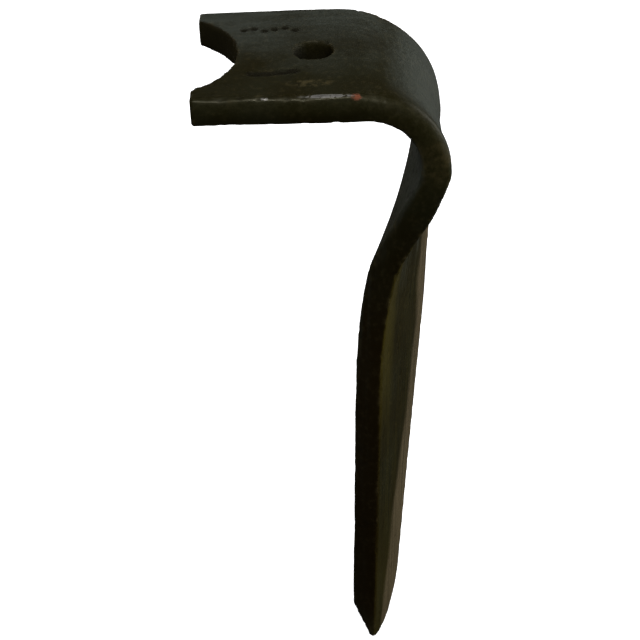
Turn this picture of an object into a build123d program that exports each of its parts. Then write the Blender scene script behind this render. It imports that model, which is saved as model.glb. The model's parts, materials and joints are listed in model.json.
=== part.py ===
"""Power harrow tine: one forging in flat bar, with a bolted flange, a bent neck and a turned leg.

Frame: +Z up, origin at the centre of the bolt hole in the flange's top face. The flange runs along X,
with its forked end towards -X, where the rotor hub sits. The leg hangs down. The two long edges of the
bar are the front edge (-Y), blunt and full thickness, and the rear edge (+Y), tapered and thinned.
The outer skin is the flange's top face and the leg's face towards +X.
"""

from build123d import *
import os
from math import cos, radians, sin, sqrt, tan

# Bar, mm
bar_width = 80.0
bar_thickness = 13.0
edge_radius = 1.5

# Flange: bolt hole and hub notch; the fork end is cut a little askew
bolt_hole_diameter = 16.5
bolt_to_fork_end = 50.1
fork_end_skew = 0.4
bolt_to_notch = 32.2
hub_notch_radius = 36.0
fork_end_radius = 1.0

# Bend from flange to leg: start, outer radius and turn of each long edge
front_bend_start = 20.5
front_bend_radius = 35.4
front_bend_angle = 116.0
rear_bend_start = 11.5
rear_bend_radius = 46.8
rear_bend_angle = 93.5

# Neck: the front edge runs back under the flange, then returns to the leg's lean in two arcs
neck_run = 35.4
neck_return_radius = 60.0
neck_return_angle = 16.4
neck_ease_radius = 370.0

# Leg: a flat blade turned about the vertical; the shallow bevel along its rear edge fades in over the bend
leg_depth = 334.5
leg_lean = 1.2
leg_turn = 19.8
leg_taper = 10.9
rear_bevel_width = 20.0
rear_bevel_depth = 1.5

# Tip: a round end that runs smoothly into the rear edge, thinned from the inner face, most at the front edge
tip_radius = 29.0
tip_bevel_length = 32.0
tip_bevel_slope = 0.43
tip_bevel_fade = 0.20

# Cross-sections that shape the bend and the neck, and the straight lead before and after them
bend_steps = 9
neck_steps = 10
straight_lead = 6.0

# Size of the blocks that cut away waste
cutter = 200.0


def cross_section(front, rear, along, bevel_depth=0.0):
    """Face of the bar between two points of its outer skin, with rounded corners."""
    across = (rear - front).normalized()
    width = (rear - front).length
    plane = Plane(origin=front, x_dir=across, z_dir=along - across * along.dot(across))
    bevel_start = Vector(width - rear_bevel_width, 0)
    rear_side = [(width, -bevel_depth), (width, -bar_thickness)]
    outline = make_face(Polyline((0, 0), bevel_start, *rear_side, (0, -bar_thickness), close=True))
    corners = [v for v in outline.vertices() if (Vector(v) - bevel_start).length > edge_radius]
    return plane * fillet(corners, edge_radius)


def bar_section(front_rail, rear_rail, place, bevel_depth=0.0):
    """Cross-section at the same share of both side rails, which keeps them one bar width apart."""
    front, rear = front_rail @ place, rear_rail @ place
    heading = (front_rail % place + rear_rail % place).normalized()
    gap = rear - front
    offset = gap.X * heading.Y - gap.Y * heading.X
    half_span = sqrt(bar_width**2 - offset**2) / 2
    return cross_section(
        Vector(front.X, -half_span, front.Y),
        Vector(rear.X, half_span, rear.Y),
        Vector(heading.X, 0, heading.Y),
        bevel_depth,
    )


# Side rails of the outer skin, drawn flat with their second coordinate as height
front_bend = JernArc((front_bend_start, 0), (1, 0), front_bend_radius, -front_bend_angle)
front_run = Line(front_bend @ 1, front_bend @ 1 + (front_bend % 1) * neck_run)
front_return = JernArc(front_run @ 1, front_run % 1, neck_return_radius, neck_return_angle)
ease_angle = front_bend_angle - neck_return_angle - 90 - leg_lean
front_ease = JernArc(front_return @ 1, front_return % 1, neck_ease_radius, ease_angle)
front_neck = Wire([front_run, front_return, front_ease])
leg_top = front_neck @ 1

rear_bend = JernArc((rear_bend_start, 0), (1, 0), rear_bend_radius, -rear_bend_angle)
rear_neck = Line(rear_bend @ 1, leg_top + Vector(bar_width * sin(radians(leg_turn)), 0))

# Leg directions, and the top of its front edge on the outer skin
leg_along = Vector(-sin(radians(leg_lean)), 0, -cos(radians(leg_lean)))
leg_across = Vector(sin(radians(leg_turn)), cos(radians(leg_turn)), 0)
leg_out = leg_along.cross(leg_across).normalized()
leg_front = Vector(leg_top.X, -bar_width * cos(radians(leg_turn)) / 2, leg_top.Y)
leg_length = (leg_depth + leg_top.Y) / cos(radians(leg_lean))


def leg_point(across, out, along):
    """Point of the leg, measured from the top of its front edge on the outer skin."""
    return leg_front + leg_across * across + leg_out * out + leg_along * along


def leg_section(along):
    """Cross-section of the leg at a distance down its front edge."""
    width = bar_width - along * tan(radians(leg_taper))
    return cross_section(leg_point(0, 0, along), leg_point(width, 0, along), leg_along, rear_bevel_depth)


flange_section = Pos(-straight_lead, 0, 0) * bar_section(front_bend, rear_bend, 0)


def flange():
    """Flat end of the bar, cut to length, with the notch that clears the rotor hub."""
    bar = extrude(flange_section, cutter / 2, dir=(-1, 0, 0))
    beyond = Box(cutter, cutter, cutter, align=(Align.MAX, Align.CENTER, Align.CENTER))
    bar -= Pos(-bolt_to_fork_end, 0, 0) * Rot(0, 0, -fork_end_skew) * beyond
    fork_end = bar.faces().sort_by(Axis.X)[0]
    bar = fillet(fork_end.edges(), fork_end_radius)
    hub_axis = -bolt_to_notch - hub_notch_radius
    return bar - Pos(hub_axis, 0, 0) * Cylinder(hub_notch_radius, cutter)


def bend_and_neck():
    """Skin through the cross-sections from the flange's end to just below the leg's top."""
    lead_in = [flange_section, Pos(-straight_lead / 2, 0, 0) * bar_section(front_bend, rear_bend, 0)]
    bend = []
    for i in range(bend_steps + 1):
        share = i / bend_steps
        bend.append(bar_section(front_bend, rear_bend, share, rear_bevel_depth * sin(radians(90 * share))))
    neck = []
    for i in range(1, neck_steps + 1):
        neck.append(bar_section(front_neck, rear_neck, i / neck_steps, rear_bevel_depth))
    lead_out = [leg_section(straight_lead / 2), leg_section(straight_lead)]
    return loft(lead_in + bend + neck + lead_out)


def leg():
    """Tapered blade, cut to its round end and thinned behind the tip."""
    blade = loft([leg_section(straight_lead), leg_section(leg_length + straight_lead)], ruled=True)
    taper = radians(leg_taper)
    end_width = bar_width - leg_length * tan(taper)
    lowest_from_front = end_width - tip_radius * (1 - sin(taper)) / cos(taper)
    arc_centre = leg_point(lowest_from_front, 0, leg_length - tip_radius)
    down_rear_edge = leg_along * cos(taper) - leg_across * sin(taper)
    waste = Plane(origin=arc_centre, x_dir=leg_out, z_dir=down_rear_edge) * Box(
        cutter, cutter, cutter, align=(Align.CENTER, Align.CENTER, Align.MIN)
    )
    round_end = Plane(origin=arc_centre, x_dir=leg_across, z_dir=leg_out) * Cylinder(tip_radius, cutter)
    blade -= waste - round_end
    bevel_origin = leg_point(0, -bar_thickness, leg_length - tip_bevel_length)
    into_waste = leg_along * tip_bevel_slope - leg_across * tip_bevel_fade - leg_out
    bevel = Plane(origin=bevel_origin, x_dir=leg_across, z_dir=into_waste) * Box(
        cutter, cutter, cutter, align=(Align.CENTER, Align.CENTER, Align.MIN)
    )
    return blade - bevel


tine = flange() + bend_and_neck() + leg()
tine -= Cylinder(bolt_hole_diameter / 2, cutter)

os.makedirs("parts", exist_ok=True)
export_step(tine, "parts/tine.step")
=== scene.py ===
"""Looks for the power harrow tine: one forging with black paint, mill scale, scrapes and rust.

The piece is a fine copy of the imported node's skin. It is reshaped only by shallow forging marks, pits,
nicks and punch dents, and it gets a procedural paint. Everything is in metres, in the CAD frame.
"""

import json
import math

import bpy
import numpy as np
from mathutils import Matrix, Vector, kdtree, noise


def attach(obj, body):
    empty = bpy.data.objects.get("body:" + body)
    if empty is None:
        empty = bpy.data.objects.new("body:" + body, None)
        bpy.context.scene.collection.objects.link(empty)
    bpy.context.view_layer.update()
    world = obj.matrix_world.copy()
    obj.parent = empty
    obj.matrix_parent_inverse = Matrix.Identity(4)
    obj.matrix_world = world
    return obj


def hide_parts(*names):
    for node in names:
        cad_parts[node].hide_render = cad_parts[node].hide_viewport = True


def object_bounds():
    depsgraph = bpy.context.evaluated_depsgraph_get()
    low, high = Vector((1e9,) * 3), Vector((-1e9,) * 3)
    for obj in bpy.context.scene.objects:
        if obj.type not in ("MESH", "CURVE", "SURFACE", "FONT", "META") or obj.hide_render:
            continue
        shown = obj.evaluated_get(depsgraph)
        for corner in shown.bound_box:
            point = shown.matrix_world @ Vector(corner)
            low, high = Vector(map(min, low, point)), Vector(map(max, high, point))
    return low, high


MM = 0.001

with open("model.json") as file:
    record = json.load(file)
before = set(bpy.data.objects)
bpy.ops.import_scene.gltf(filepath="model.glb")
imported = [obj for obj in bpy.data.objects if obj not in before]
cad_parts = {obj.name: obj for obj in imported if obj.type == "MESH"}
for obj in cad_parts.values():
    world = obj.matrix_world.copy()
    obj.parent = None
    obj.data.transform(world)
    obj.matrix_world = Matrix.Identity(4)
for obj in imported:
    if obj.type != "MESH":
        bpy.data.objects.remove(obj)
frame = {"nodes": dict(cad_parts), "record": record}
cad_low, cad_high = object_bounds()
mounts = {mount["name"]: mount for mount in frame["record"]["mounts"]}

hole_radius = mounts["bolt_hole"]["dims"]["r_mm"] * MM
notch_radius = mounts["hub_notch"]["dims"]["r_mm"] * MM
hub_axis_x = mounts["hub_notch"]["pos_m"][0] - notch_radius
bar_thickness = mounts["bolt_hole"]["dims"]["length_mm"] * MM
half_width = cad_high.y

# The blade's turn about the vertical, and the heights between which its soil band and painted light strip
# set in
BLADE_TURN = math.radians(19.8)
BANDS_START_Z = -0.045
BANDS_WHOLE_Z = -0.090


# ---------------------------------------------------------------------------------------- camera

CAMERA_PLACE = Vector((-0.0002, -0.5711, 0.2892))
CAMERA_ELEVATION = math.radians(37.07)
CAMERA_AZIMUTH = math.radians(-0.07)
CAMERA_ROLL = math.radians(-1.88)
LENS_MM = 84.375
SENSOR_MM = 36.0


def make_camera():
    """Camera above the front edge, looking down along +Y, rolled a little."""
    data = bpy.data.cameras.new("camera")
    data.sensor_width = SENSOR_MM
    data.lens = LENS_MM
    data.clip_start = 0.01
    data.clip_end = 50.0
    camera = bpy.data.objects.new("camera", data)
    bpy.context.scene.collection.objects.link(camera)
    level = math.cos(CAMERA_ELEVATION)
    side, ahead = math.sin(CAMERA_AZIMUTH), math.cos(CAMERA_AZIMUTH)
    forward = Vector((side * level, ahead * level, -math.sin(CAMERA_ELEVATION)))
    right = Vector((ahead, -side, 0))
    up = right.cross(forward)
    rolled_right = right * math.cos(CAMERA_ROLL) + up * math.sin(CAMERA_ROLL)
    rolled_up = up * math.cos(CAMERA_ROLL) - right * math.sin(CAMERA_ROLL)
    axes = Matrix((rolled_right, rolled_up, -forward)).transposed()
    camera.matrix_world = Matrix.Translation(CAMERA_PLACE) @ axes.to_4x4()
    bpy.context.scene.camera = camera


# ---------------------------------------------------------------------------------------- nodes


class Graph:
    """Adds nodes to a node tree. An input is given a number, a colour or another node's output."""

    def __init__(self, tree):
        self.tree = tree
        tree.nodes.clear()

    def add(self, kind, inputs=None, **settings):
        node = self.tree.nodes.new("ShaderNode" + kind)
        for name, value in settings.items():
            setattr(node, name, value)
        for name, value in (inputs or {}).items():
            if isinstance(value, bpy.types.NodeSocket):
                self.tree.links.new(value, node.inputs[name])
            else:
                node.inputs[name].default_value = value
        return node

    def math(self, operation, first, second, clamp=False):
        node = self.add("Math", {0: first, 1: second}, operation=operation, use_clamp=clamp)
        return node.outputs[0]

    def plus(self, first, second, clamp=False):
        return self.math("ADD", first, second, clamp)

    def times(self, first, second, clamp=False):
        return self.math("MULTIPLY", first, second, clamp)

    def larger(self, first, second):
        return self.math("MAXIMUM", first, second)

    def ramp(self, value, low, high, out_low=0.0, out_high=1.0):
        """Runs smoothly from out_low to out_high while the value goes from low to high."""
        inputs = {"Value": value, "From Min": low, "From Max": high, "To Min": out_low, "To Max": out_high}
        return self.add("MapRange", inputs, interpolation_type="SMOOTHSTEP").outputs[0]

    def noise(self, place, scale, detail=3.0, roughness=0.5):
        inputs = {"Vector": place, "Scale": scale, "Detail": detail, "Roughness": roughness}
        return self.add("TexNoise", inputs).outputs[0]

    def stretch(self, place, scale):
        inputs = {"Vector": place, "Scale": scale}
        return self.add("Mapping", inputs).outputs[0]

    def spot(self, place, centre, size):
        """1 near a point of the object, fading to 0 at the size given from it, as an ellipsoid."""
        moved = self.add("VectorMath", {0: place, 1: tuple(-c for c in centre)}, operation="ADD")
        shares = {0: moved.outputs[0], 1: tuple(1 / s for s in size)}
        scaled = self.add("VectorMath", shares, operation="MULTIPLY")
        reach = self.add("VectorMath", {0: scaled.outputs[0]}, operation="LENGTH").outputs["Value"]
        return self.ramp(reach, 1.0, 0.4)

    def blend(self, amount, under, over):
        """Colour under, covered by colour over where the amount is 1."""
        node = self.add("Mix", {0: amount}, data_type="RGBA")
        for socket, value in ((node.inputs[6], under), (node.inputs[7], over)):
            if isinstance(value, bpy.types.NodeSocket):
                self.tree.links.new(value, socket)
            else:
                socket.default_value = (*value, 1)
        return node.outputs[2]


# ---------------------------------------------------------------------------------------- stage

FLOOR_SIZE = 6.0
FLOOR_GAP = 0.0002
FLOOR_GREY = 0.93
FLOOR_GLOW = 0.9
OBJECT_MIDDLE = (0.02, 0.0, -0.12)
TOWARD_LIGHT = (0.30, 0.74, 0.60)
BACKDROP_DIM = 0.010
BACKDROP_BEHIND = 0.045
BACKDROP_ABOVE = 0.05


def make_floor():
    """White floor at the tip's height. It stays out of the paint's reflections."""
    bpy.ops.mesh.primitive_plane_add(size=FLOOR_SIZE, location=(0, 0, cad_low.z - FLOOR_GAP))
    floor = bpy.context.object
    floor.name = "floor"
    material = bpy.data.materials.new("floor_white")
    material.use_nodes = True
    shader = material.node_tree.nodes["Principled BSDF"]
    shader.inputs["Base Color"].default_value = (FLOOR_GREY, FLOOR_GREY, FLOOR_GREY, 1)
    shader.inputs["Roughness"].default_value = 0.9
    shader.inputs["Specular IOR Level"].default_value = 0.0
    shader.inputs["Emission Color"].default_value = (1, 1, 1, 1)
    shader.inputs["Emission Strength"].default_value = FLOOR_GLOW
    floor.data.materials.append(material)
    floor.visible_glossy = False
    floor.visible_diffuse = False


def make_world():
    """White backdrop. It lights the object dimly from in front and below, and more from behind and above."""
    world = bpy.data.worlds.new("studio")
    bpy.context.scene.world = world
    world.use_nodes = True
    graph = Graph(world.node_tree)
    place = graph.add("TexCoord").outputs["Generated"]
    toward = graph.add("VectorMath", {0: place, 1: TOWARD_LIGHT}, operation="DOT_PRODUCT").outputs["Value"]
    height = graph.add("SeparateXYZ", {0: place}).outputs["Z"]
    behind = graph.ramp(toward, -0.10, 0.80, BACKDROP_DIM, BACKDROP_BEHIND)
    above = graph.ramp(height, -0.32, 0.05, BACKDROP_DIM, BACKDROP_ABOVE)
    glow = graph.larger(behind, above)
    lit = graph.add("Background", {"Color": (1.0, 1.0, 0.98, 1), "Strength": glow})
    shown = graph.add("Background", {"Color": (1, 1, 1, 1)})
    seen = graph.add("LightPath").outputs["Is Camera Ray"]
    mix = graph.add("MixShader", {0: seen, 1: lit.outputs[0], 2: shown.outputs[0]})
    graph.add("OutputWorld", {"Surface": mix.outputs[0]})


def area_light(name, place, size, power, mirrored=True):
    """Softbox that faces the object. One that isn't mirrored lights the paint without a reflection."""
    data = bpy.data.lights.new(name, "AREA")
    data.shape = "RECTANGLE"
    data.size, data.size_y = size
    data.energy = power
    lamp = bpy.data.objects.new(name, data)
    lamp.location = place
    lamp.visible_glossy = mirrored
    lamp.rotation_euler = (Vector(OBJECT_MIDDLE) - Vector(place)).to_track_quat("-Z", "Y").to_euler()
    bpy.context.scene.collection.objects.link(lamp)


make_camera()
make_floor()
make_world()
area_light("top_softbox", (0.1, 0.55, 0.95), (0.9, 0.7), 5.2, mirrored=False)
area_light("right_softbox", (1.0, 0.35, 0.10), (0.6, 0.8), 1.6)
area_light("right_fill", (1.0, 0.15, 0.05), (0.8, 0.8), 7.0, mirrored=False)
area_light("left_fill", (-0.8, 0.85, 0.15), (0.6, 0.9), 8.0, mirrored=False)
area_light("front_fill", (0.0, -0.80, 0.20), (0.5, 0.5), 0.8, mirrored=False)
area_light("front_lamp", (0.05, -0.60, 0.75), (0.10, 0.10), 2.2)

view = bpy.context.scene.view_settings
view.view_transform = "Standard"
view.look = "None"


# ---------------------------------------------------------------------------------------- mesh

VOXEL = 0.95 * MM

# Heights and depths of what forging, shearing and use leave on the skin
EDGE_SWELL = 0.9 * MM
HOLE_SWELL = 0.9 * MM
BROAD_WAVES = 0.16 * MM
FINE_WAVES = 0.05 * MM
SHEAR_MARKS = 0.10 * MM
PITS = 0.20 * MM
NICKS = 0.45 * MM
EDGE_WEAR = 0.22 * MM
TIP_WEAR = 1.1 * MM
BEND_DISH = 2.1 * MM
BEND_LUMP = 1.2 * MM
NECK_LUMP = 1.6 * MM
INNER_THINNING = 0.8 * MM
PUNCH_DEPTH = 1.0 * MM
TOOL_MARK_DEPTH = 1.1 * MM

# Row of punch dents near the flange's rear edge, and a wavy tool mark near its front edge
PUNCH_DENTS = 6
PUNCH_FIRST = (-29.5 * MM, 20.5 * MM)
PUNCH_PITCH = 4.4 * MM
PUNCH_STRAY = 1.3 * MM
PUNCH_SIZE = (1.2 * MM, 1.2 * MM, 3 * MM)
TOOL_MARK_X = (-26 * MM, -8 * MM)
TOOL_MARK_Y = -19 * MM
TOOL_MARK_WAVE = 0.9 * MM
TOOL_MARK_WIDTH = 1.3 * MM
TOOL_MARK_END = 1.5 * MM

# Smoothing that rounds the bend's outer front edge
SOFTENING_PASSES = 70
SOFTENING_SHARE = 0.6

# Brown soil along the blade's front edge and painted light along its rear edge: distance from the edge where
# each band has faded out, and where it is whole
FRONT_BAND = (22 * MM, 8 * MM)
REAR_LIGHT_STRIP = (27 * MM, 19 * MM)
STRIP_WIDENS_BY = 11 * MM
STRIP_WIDENS_Z = (-0.18, -0.27)
EDGE_LEVELS = 40


def fine_copy(node):
    """Even fine mesh of a CAD node's skin, in a new object."""
    piece = bpy.data.objects.new("tine_forging", node.data.copy())
    bpy.context.scene.collection.objects.link(piece)
    piece.data.materials.clear()
    remesh = piece.modifiers.new("remesh", "REMESH")
    remesh.mode = "VOXEL"
    remesh.voxel_size = VOXEL
    graph = bpy.context.evaluated_depsgraph_get()
    made = bpy.data.meshes.new_from_object(piece.evaluated_get(graph))
    piece.modifiers.clear()
    coarse = piece.data
    piece.data = made
    bpy.data.meshes.remove(coarse)
    return piece


def step(low, high, values):
    """Smooth step from 0 at low to 1 at high, in either order."""
    share = np.clip((values - low) / (high - low), 0, 1)
    return share * share * (3 - 2 * share)


class Skin:
    """Points, normals and neighbours of a mesh as arrays, with what the forging marks need."""

    def __init__(self, mesh):
        self.mesh = mesh
        self.count = len(mesh.vertices)
        ends = np.zeros(len(mesh.edges) * 2, np.int32)
        mesh.edges.foreach_get("vertices", ends)
        ends = ends.reshape(-1, 2)
        self.near = np.concatenate([ends[:, 0], ends[:, 1]])
        self.far = np.concatenate([ends[:, 1], ends[:, 0]])
        self.degree = np.maximum(np.bincount(self.near, minlength=self.count), 1)
        self.read()

    def read(self):
        flat = np.zeros(self.count * 3, np.float32)
        self.mesh.vertices.foreach_get("co", flat)
        self.points = flat.reshape(-1, 3).astype(float)
        self.mesh.vertex_normals.foreach_get("vector", flat)
        self.normals = flat.reshape(-1, 3).astype(float)

    def write(self):
        self.mesh.vertices.foreach_set("co", self.points.astype(np.float32).ravel())
        self.mesh.update()
        self.read()

    def neighbour_mean(self, values):
        return np.bincount(self.near, values[self.far], self.count) / self.degree

    def spread(self, values, times):
        """Values averaged with their neighbours' a number of times."""
        for _ in range(times):
            values = (values + self.neighbour_mean(values)) / 2
        return values

    def convexity(self):
        """0 on flat faces and 1 along the bar's convex edges."""
        lift = np.zeros(self.count)
        for axis in range(3):
            column = self.points[:, axis]
            lift += (column - self.neighbour_mean(column)) * self.normals[:, axis]
        return step(0.02, 0.09, self.spread(lift / VOXEL, 2))

    def noise(self, size, octaves=3, shift=0.0, scale=(1, 1, 1)):
        """Fractal noise with features of about the size given, in metres, from about -1 to 1."""
        places = self.points * np.array(scale) / size + shift
        return np.array([noise.fractal(Vector(p), 1.0, 2.0, octaves) for p in places])

    def blob(self, centre, size):
        """1 at a point, fading to 0 over about the size given."""
        offset = (self.points - np.array(centre)) / np.array(size)
        return np.exp(-(offset**2).sum(1))

    def store(self, name, values):
        attribute = self.mesh.attributes.new(name, "FLOAT", "POINT")
        attribute.data.foreach_set("value", values.astype(np.float32))


def distance_from_outside(skin, inside):
    """Distance of each point that is inside a region from the nearest point outside it."""
    outside = np.flatnonzero(~inside)
    tree = kdtree.KDTree(len(outside))
    for index in outside:
        tree.insert(skin.points[index], int(index))
    tree.balance()
    distance = np.zeros(skin.count)
    for index in np.flatnonzero(inside):
        distance[index] = tree.find(skin.points[index])[2]
    return distance


def edge_swell(skin):
    """Rolled bar has slightly round edges: both long edges swell between their corners."""
    x, y, _ = skin.normals.T
    turned = y * math.cos(BLADE_TURN) + x * math.sin(BLADE_TURN)
    side = np.maximum(np.abs(y), np.abs(turned)) > 0.82
    near_notch = np.hypot(skin.points[:, 0] - hub_axis_x, skin.points[:, 1]) < notch_radius + 2 * MM
    near_hole = np.hypot(skin.points[:, 0], skin.points[:, 1]) < hole_radius + 2 * MM
    high_up = skin.points[:, 2] > -bar_thickness - 2 * MM
    side &= ~(near_notch & high_up) & ~(near_hole & high_up)
    depth = np.minimum(distance_from_outside(skin, side) / (bar_thickness / 2), 1)
    return EDGE_SWELL * (1 - (1 - depth) ** 2) * side


def punch_dents(skin):
    """Plain round punch dents in the flange's top face, and one shallow wavy tool mark."""
    top = step(0.6, 0.9, skin.normals[:, 2])
    depth = np.zeros(skin.count)
    for i in range(PUNCH_DENTS):
        stray = PUNCH_STRAY * math.sin(2.1 * i)
        place = (PUNCH_FIRST[0] + PUNCH_PITCH * i, PUNCH_FIRST[1] + stray, 0)
        depth += PUNCH_DEPTH * skin.blob(place, PUNCH_SIZE)
    x, y, _ = skin.points.T
    aside = y - TOOL_MARK_Y + TOOL_MARK_WAVE * np.sin(x / (4.5 * MM))
    past_end = x - np.clip(x, *TOOL_MARK_X)
    depth += TOOL_MARK_DEPTH * np.exp(-((aside / TOOL_MARK_WIDTH) ** 2) - (past_end / TOOL_MARK_END) ** 2)
    return depth * top


def bend_marks(skin):
    """What bending does to thick bar: dished outer face, two lumps beside it, thinner inner rear edge."""
    outer = skin.spread(step(0.05, 0.85, skin.normals[:, 0]), 12)
    inner = step(-0.3, -0.8, skin.normals[:, 0])
    x, y, z = skin.points.T
    between_edges = step(38 * MM, 0, y) * step(-41 * MM, -28 * MM, y) * step(14 * MM, 26 * MM, x)
    lift = -BEND_DISH * outer * between_edges * step(-82 * MM, -58 * MM, z)
    lift += BEND_LUMP * outer * skin.blob((0.0555, -0.040, -0.032), (0.010, 0.008, 0.013))
    lift += NECK_LUMP * outer * skin.blob((0.047, -0.038, -0.060), (0.010, 0.014, 0.012))
    lift -= INNER_THINNING * inner * skin.blob((0.038, 0.036, -0.072), (0.02, 0.02, 0.03))
    return lift


def soften_front_bend(skin):
    """Rounds the outer front edge round the bend, where the bar was drawn over the die."""
    x, y, z = skin.points.T
    outer = step(-0.2, 0.3, skin.normals[:, 0] + skin.normals[:, 2])
    share = step(15 * MM, 27 * MM, x) * step(-42 * MM, -27 * MM, z) * step(-26 * MM, -34 * MM, y) * outer
    for _ in range(SOFTENING_PASSES):
        for axis in range(3):
            column = skin.points[:, axis]
            moved = SOFTENING_SHARE * share * (skin.neighbour_mean(column) - column)
            skin.points[:, axis] = column + moved
    skin.write()


def shear_mask(x, y, z):
    """1 on the cut walls of the notch, the hole and the fork's end, all in the flange."""
    notch = step(0.9 * MM, 0.4 * MM, np.abs(np.hypot(x - hub_axis_x, y) - notch_radius))
    hole = step(0.9 * MM, 0.4 * MM, np.abs(np.hypot(x, y) - hole_radius))
    fork_end = step(cad_low.x + 1.2 * MM, cad_low.x + 0.5 * MM, x)
    return np.clip(notch + fork_end + hole, 0, 1) * (z > -bar_thickness - MM)


def forge(skin):
    """Moves the skin by what forging, shearing and use leave on such a part, all of it shallow."""
    soften_front_bend(skin)
    x, y, z = skin.points.T
    edge = skin.convexity()
    along = edge_swell(skin)
    along += BROAD_WAVES * skin.noise(38 * MM, 2)
    along += FINE_WAVES * skin.noise(9 * MM, 3, shift=5.0)
    patches = step(-0.15, 0.35, skin.noise(30 * MM, 2, shift=11.0))
    pits = step(0.22, 0.62, skin.noise(4.2 * MM, 2, shift=23.0)) * patches
    along -= PITS * pits
    nicks = edge * step(0.25, 0.60, skin.noise(5.5 * MM, 2, shift=31.0))
    along -= NICKS * nicks
    tip = step(cad_low.z + 9 * MM, cad_low.z + 2 * MM, z) * step(0.2, -0.5, skin.normals[:, 2])
    along -= TIP_WEAR * tip
    above_tip = step(cad_low.z + 5 * MM, cad_low.z + 30 * MM, z)
    along -= EDGE_WEAR * edge * above_tip * step(-0.2, 0.5, skin.noise(24 * MM, 2, shift=41.0))
    sheared = shear_mask(x, y, z)
    along += SHEAR_MARKS * sheared * skin.noise(3.0 * MM, 2, shift=53.0, scale=(1, 1, 0.12))
    dents = punch_dents(skin)
    along -= dents
    along += bend_marks(skin)
    skin.points += skin.normals * along[:, None]
    beside_hole = np.exp(-(((x - 0.002) / 0.020) ** 2)) * step(-0.04, -0.02, z)
    skin.points[:, 1] += HOLE_SWELL * beside_hole * np.sign(y) * (np.abs(y) / half_width) ** 3
    skin.write()
    skin.store("edge", skin.spread(skin.convexity(), 1))
    # Dark rust in pits and nicks; the punch dents and the tool mark count fully, so the paint fills them
    # with painted shade
    skin.store("pit", np.clip(0.35 * pits + 0.6 * nicks + dents / (0.22 * MM), 0, 1))
    skin.store("sheared", sheared)
    store_blade_bands(skin)


def store_blade_bands(skin):
    """Where the band of soil along the blade's front edge and the band of painted light along its rear edge
    lie. The rear one widens towards the tip.
    """
    across = skin.points[:, 0] * math.sin(BLADE_TURN) + skin.points[:, 1] * math.cos(BLADE_TURN)
    z = skin.points[:, 2]
    levels = np.linspace(cad_low.z + 0.01, BANDS_WHOLE_Z, EDGE_LEVELS)
    rows = [across[np.abs(z - level) < 2 * MM] for level in levels]
    wander = 3 * MM * skin.noise(30 * MM, 2, shift=61.0)
    from_front = across - np.interp(z, levels, [row.min() for row in rows]) + wander
    from_rear = np.interp(z, levels, [row.max() for row in rows]) - across + wander
    from_rear -= STRIP_WIDENS_BY * step(*STRIP_WIDENS_Z, z)
    on_blade = step(BANDS_START_Z, BANDS_WHOLE_Z, z)
    skin.store("front_band", on_blade * step(*FRONT_BAND, from_front))
    # The band of painted light along the rear edge
    skin.store("rear_strip", on_blade * step(*REAR_LIGHT_STRIP, from_rear))


piece = fine_copy(frame["nodes"]["tine"])
forge(Skin(piece.data))
for polygon in piece.data.polygons:
    polygon.use_smooth = True


# ---------------------------------------------------------------------------------------- paint

PAINT_OIL_BLACK = (0.0120, 0.0095, 0.0008)
PAINT_BROWN_BLACK = (0.0155, 0.0090, 0.0008)
PAINT_GREY_BLACK = (0.0150, 0.0145, 0.0050)
# Grey for dust, and for painted light on the flange's top and painted sheen round the bend
GREY_DUST_AND_SHEEN = (0.047, 0.053, 0.044)
# Olive for dust, and for painted light on the flange's front face
OLIVE_DUST_AND_LIGHT = (0.050, 0.048, 0.018)
DUST_BROWN = (0.078, 0.062, 0.008)
# Pale grey painted light: the strip along the blade's rear edge and the rim along the bend's rear edge
PAINTED_LIGHT_GREY = (0.146, 0.113, 0.062)
RUST_DARK = (0.014, 0.0095, 0.0015)
PIT_BLACK = (0.004, 0.003, 0.0008)
# Near black for rust in pits and nicks, and for painted shade in the punch dents and the tool mark
RUST_ORANGE = (0.26, 0.075, 0.036)
SCUFF_BROWN = (0.095, 0.074, 0.030)
BARE_STEEL = (0.62, 0.60, 0.56)
GLOSS_TINT = (1.0, 0.95, 0.70, 1)

# Single marks: the centre of each and its half size along X, Y and Z
FLANGE_SCRAPE = ((-0.002, -0.0290, 0), (0.013, 0.004, 0.004))
BEND_PATCH = ((0.050, -0.041, -0.033), (0.011, 0.005, 0.014))
RUST_CHIP = ((0.0168, -0.0402, -0.0008), (0.0030, 0.0020, 0.0020))
BARE_LINE = ((0.0050, -0.0400, 0.0), (0.0150, 0.0012, 0.0012))
BARE_SPECK = ((-0.0203, -0.0403, -0.0004), (0.0024, 0.0011, 0.0011))


class Surface:
    """What the paint depends on: places, directions, noises and the marks stored on the mesh."""

    def __init__(self, graph):
        self.place = graph.add("TexCoord").outputs["Object"]
        self.x, self.y, self.z = graph.add("SeparateXYZ", {0: self.place}).outputs
        normal = graph.add("NewGeometry").outputs["Normal"]
        self.facing_x, self.facing_y, self.facing_z = graph.add("SeparateXYZ", {0: normal}).outputs
        self.edge, self.pit, self.sheared, self.rear_strip, self.front_band = (
            graph.add("Attribute", attribute_name=name).outputs["Fac"]
            for name in ("edge", "pit", "sheared", "rear_strip", "front_band")
        )
        self.clouds = graph.noise(self.place, 28, 4)
        self.mottle = graph.noise(self.place, 420, 3, 0.6)
        self.fine = graph.noise(self.place, 1300, 2, 0.6)
        self.grain = graph.noise(self.place, 2600, 2)
        self.streaks = graph.noise(graph.stretch(self.place, (420, 420, 14)), 1.0, 4, 0.6)
        self.flow = graph.noise(graph.stretch(self.place, (30, 260, 260)), 1.0, 4, 0.6)
        self.forward = graph.ramp(self.facing_y, -0.4, -0.85)
        self.outward = graph.ramp(self.facing_x, 0.15, 0.7)
        self.ragged_z = graph.plus(self.z, graph.ramp(self.streaks, 0.25, 0.75, -0.035, 0.035))
        self.on_blade = graph.times(self.outward, graph.ramp(self.ragged_z, -0.050, -0.105))


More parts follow.
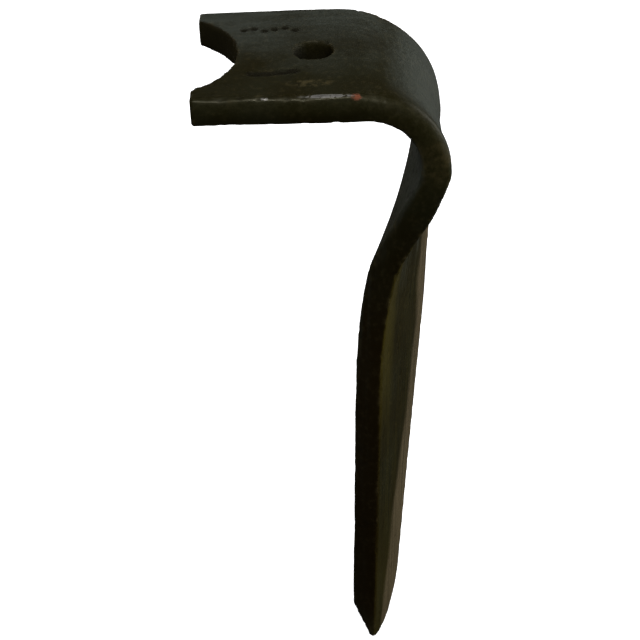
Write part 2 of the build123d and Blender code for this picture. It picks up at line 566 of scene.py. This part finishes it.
def top_dust_and_light(graph, at):
    """Grey dust on the flange's top face, with painted light that makes it lighter towards the rear edge."""
    upward = graph.ramp(at.facing_z, 0.35, 0.9)
    # Painted light: more grey towards the rear edge
    rearward = graph.ramp(at.y, -0.040, 0.036, -0.18, 0.68)
    rearward = graph.plus(rearward, graph.ramp(at.clouds, 0.35, 0.65, -0.14, 0.14), clamp=True)
    grey_amount = graph.times(graph.times(upward, rearward), graph.ramp(at.flow, 0.25, 0.75, 0.7, 1.3))
    return graph.times(grey_amount, graph.ramp(at.facing_x, 0.75, 0.25))


def bend_dust_and_sheen(graph, at):
    """Grey dust and painted sheen round the outside of the bend, strongest where it faces +X and weaker near
    the front edge, down to a ragged end where the blade's soil sets in.
    """
    above_blade = graph.ramp(at.ragged_z, -0.105, -0.050)
    grey_amount = graph.times(graph.ramp(at.facing_x, 0.25, 1.0), above_blade)
    return graph.times(grey_amount, graph.ramp(at.y, -0.040, -0.020, 0.35, 1.5))


def inner_haze(graph, at):
    """Dust on the inside of bend and neck, and in streaks down the inner face."""
    high_up = graph.ramp(at.z, BANDS_WHOLE_Z, -0.02, 0, 0.9)
    dust = graph.larger(high_up, graph.ramp(at.streaks, 0.4, 0.7, 0.05, 0.4))
    grey_amount = graph.times(graph.ramp(at.facing_x, -0.2, -0.7), dust)
    return graph.times(grey_amount, graph.ramp(at.x, 0.010, 0.022))


def front_dust_and_light(graph, at):
    """Thin dust on the front edge, along the flange and round the bend, with painted light that makes the
    flange's front face lighter towards its top.
    """
    # Painted light: from 0 at the bottom of the flange's front face to 0.4 at its top
    on_flange = graph.ramp(at.z, -bar_thickness * 0.9, -0.0005, 0.0, 0.40)
    past_hole = graph.ramp(at.x, 0.010, 0.030, 0, 0.26)
    round_bend = graph.times(past_hole, graph.ramp(at.z, -0.06, -0.035))
    return graph.times(at.forward, graph.larger(on_flange, round_bend))


def paint_with_dust_and_light(graph, at):
    """Colour of the black paint under its dust, and how much grey lies on it: grey dust, with painted light
    on the flange's top and painted sheen round the bend.
    """
    colour = graph.blend(graph.ramp(at.clouds, 0.35, 0.65), PAINT_OIL_BLACK, PAINT_GREY_BLACK)
    lower_front = graph.times(at.forward, graph.ramp(at.z, -0.05, -0.14))
    colour = graph.blend(lower_front, colour, PAINT_BROWN_BLACK)
    coarse = graph.ramp(at.mottle, 0.3, 0.7, 0.36, 0.64)
    uneven = graph.plus(coarse, graph.ramp(at.fine, 0.3, 0.7, 0.15, 0.85))
    # Grey over the top, the bend and the inside: dust, with painted light on the top face and painted sheen
    # round the bend
    grey_amount = graph.larger(graph.larger(top_dust_and_light(graph, at), bend_dust_and_sheen(graph, at)), inner_haze(graph, at))
    grey_amount = graph.times(grey_amount, uneven, clamp=True)
    colour = graph.blend(grey_amount, colour, GREY_DUST_AND_SHEEN)
    near_tip = graph.ramp(at.z, cad_low.z + 0.035, cad_low.z + 0.010, 0, 0.35)
    colour = graph.blend(graph.times(at.forward, near_tip), colour, OLIVE_DUST_AND_LIGHT)
    # Thin olive dust and painted light on the front edge, lighter towards the top of the flange's front face
    film = graph.times(front_dust_and_light(graph, at), uneven, clamp=True)
    return graph.blend(film, colour, OLIVE_DUST_AND_LIGHT), grey_amount


def blade_soil_and_light(graph, at, colour):
    """Brown soil rubbed into the blade's outer face, and painted light: a pale strip along its rear edge."""
    near_front = graph.times(at.front_band, graph.ramp(at.z, -0.21, -0.12, 0.0, 0.50))
    splashed = graph.larger(near_front, graph.ramp(at.z, -0.23, -0.30, 0.0, 0.16))
    soiled = graph.plus(graph.ramp(at.streaks, 0.32, 0.70, 0.0, 0.20), splashed, clamp=True)
    colour = graph.blend(graph.times(at.on_blade, soiled), colour, DUST_BROWN)
    # Painted light: paler along the rear edge of the blade's outer face
    pale = graph.times(graph.times(at.rear_strip, at.outward), graph.ramp(at.streaks, 0.3, 0.7, 0.45, 1.0))
    return graph.blend(pale, colour, PAINTED_LIGHT_GREY)


def rubbed_edges_and_rim_highlight(graph, at, colour):
    """Scuffs in small specks and along the edges, and a painted highlight: a pale rim along the bend's rear
    edge.
    """
    colour = graph.blend(graph.times(graph.ramp(at.mottle, 0.50, 0.72), 0.13), colour, SCUFF_BROWN)
    worn = graph.times(at.edge, graph.ramp(graph.noise(at.place, 150, 5, 0.65), 0.50, 0.66))
    colour = graph.blend(graph.times(worn, 0.55), colour, SCUFF_BROWN)
    # Painted highlight along the bend's rear edge, on its outer side
    rim = graph.times(graph.ramp(at.y, 0.0360, 0.0390), graph.ramp(at.x, 0.018, 0.034, 0, 0.7))
    outer_side = graph.ramp(graph.plus(at.facing_x, at.facing_z), 0.2, 0.6)
    return graph.blend(graph.times(rim, outer_side), colour, PAINTED_LIGHT_GREY), worn


def broken_spot(graph, at, mark, scale, detail, roughness, low, high):
    """A single mark, broken up by noise."""
    noise_in_it = graph.noise(at.place, scale, detail, roughness)
    return graph.times(graph.spot(at.place, *mark), graph.ramp(noise_in_it, low, high))


def black_paint():
    """Worn black paint over mill scale: grey dust above with painted light and painted sheen, soil and a
    painted light strip on the blade, a painted highlight on the bend's rear rim, painted shade in the punch
    dents and tool mark, rust and bare edges.
    """
    material = bpy.data.materials.new("black_paint")
    material.use_nodes = True
    graph = Graph(material.node_tree)
    at = Surface(graph)

    colour, grey_amount = paint_with_dust_and_light(graph, at)
    colour = blade_soil_and_light(graph, at, colour)
    colour, worn = rubbed_edges_and_rim_highlight(graph, at, colour)

    cut_rust = graph.times(at.sheared, graph.ramp(at.clouds, 0.3, 0.6, 0.25, 0.75))
    colour = graph.blend(cut_rust, colour, RUST_DARK)
    # Dark rust in pits and nicks, and painted shade in the punch dents and the tool mark
    deep = graph.times(at.pit, graph.ramp(at.mottle, 0.30, 0.5, 0.5, 0.95))
    colour = graph.blend(deep, colour, PIT_BLACK)

    scrape = broken_spot(graph, at, FLANGE_SCRAPE, 300, 3, 0.6, 0.42, 0.62)
    patch = broken_spot(graph, at, BEND_PATCH, 240, 4, 0.7, 0.38, 0.66)
    colour = graph.blend(graph.times(graph.larger(scrape, patch), 0.5), colour, SCUFF_BROWN)
    chip = broken_spot(graph, at, RUST_CHIP, 500, 3, 0.6, 0.34, 0.50)
    colour = graph.blend(chip, colour, RUST_ORANGE)
    bare = graph.larger(graph.spot(at.place, *BARE_LINE), graph.spot(at.place, *BARE_SPECK))
    bare = graph.times(bare, graph.ramp(graph.noise(at.place, 380, 3, 0.6), 0.36, 0.48))
    colour = graph.blend(bare, colour, BARE_STEEL)

    rough = graph.ramp(at.clouds, 0.3, 0.7, 0.34, 0.46)
    rough = graph.plus(rough, graph.times(grey_amount, 0.10))
    rough = graph.plus(rough, graph.ramp(at.mottle, 0.3, 0.7, -0.06, 0.08))
    rusty = graph.larger(graph.larger(deep, cut_rust), graph.larger(chip, worn))
    rough = graph.plus(rough, graph.times(rusty, 0.35), clamp=True)

    relief = graph.plus(graph.times(at.mottle, 0.8), graph.times(at.grain, 0.18))
    relief = graph.math("SUBTRACT", relief, graph.times(chip, 0.6))
    relief = graph.plus(relief, graph.times(graph.times(at.streaks, at.on_blade), 0.35))
    bump = graph.add("Bump", {"Strength": 0.45, "Distance": 0.28 * MM, "Height": relief})

    inputs = {
        "Base Color": colour,
        "Roughness": rough,
        "Metallic": bare,
        "Specular IOR Level": 0.5,
        "Specular Tint": GLOSS_TINT,
        "Normal": bump.outputs[0],
    }
    shader = graph.add("BsdfPrincipled", inputs)
    graph.add("OutputMaterial", {"Surface": shader.outputs[0]})
    return material


piece.data.materials.clear()
piece.data.materials.append(black_paint())

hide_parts("tine")
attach(piece, "root")
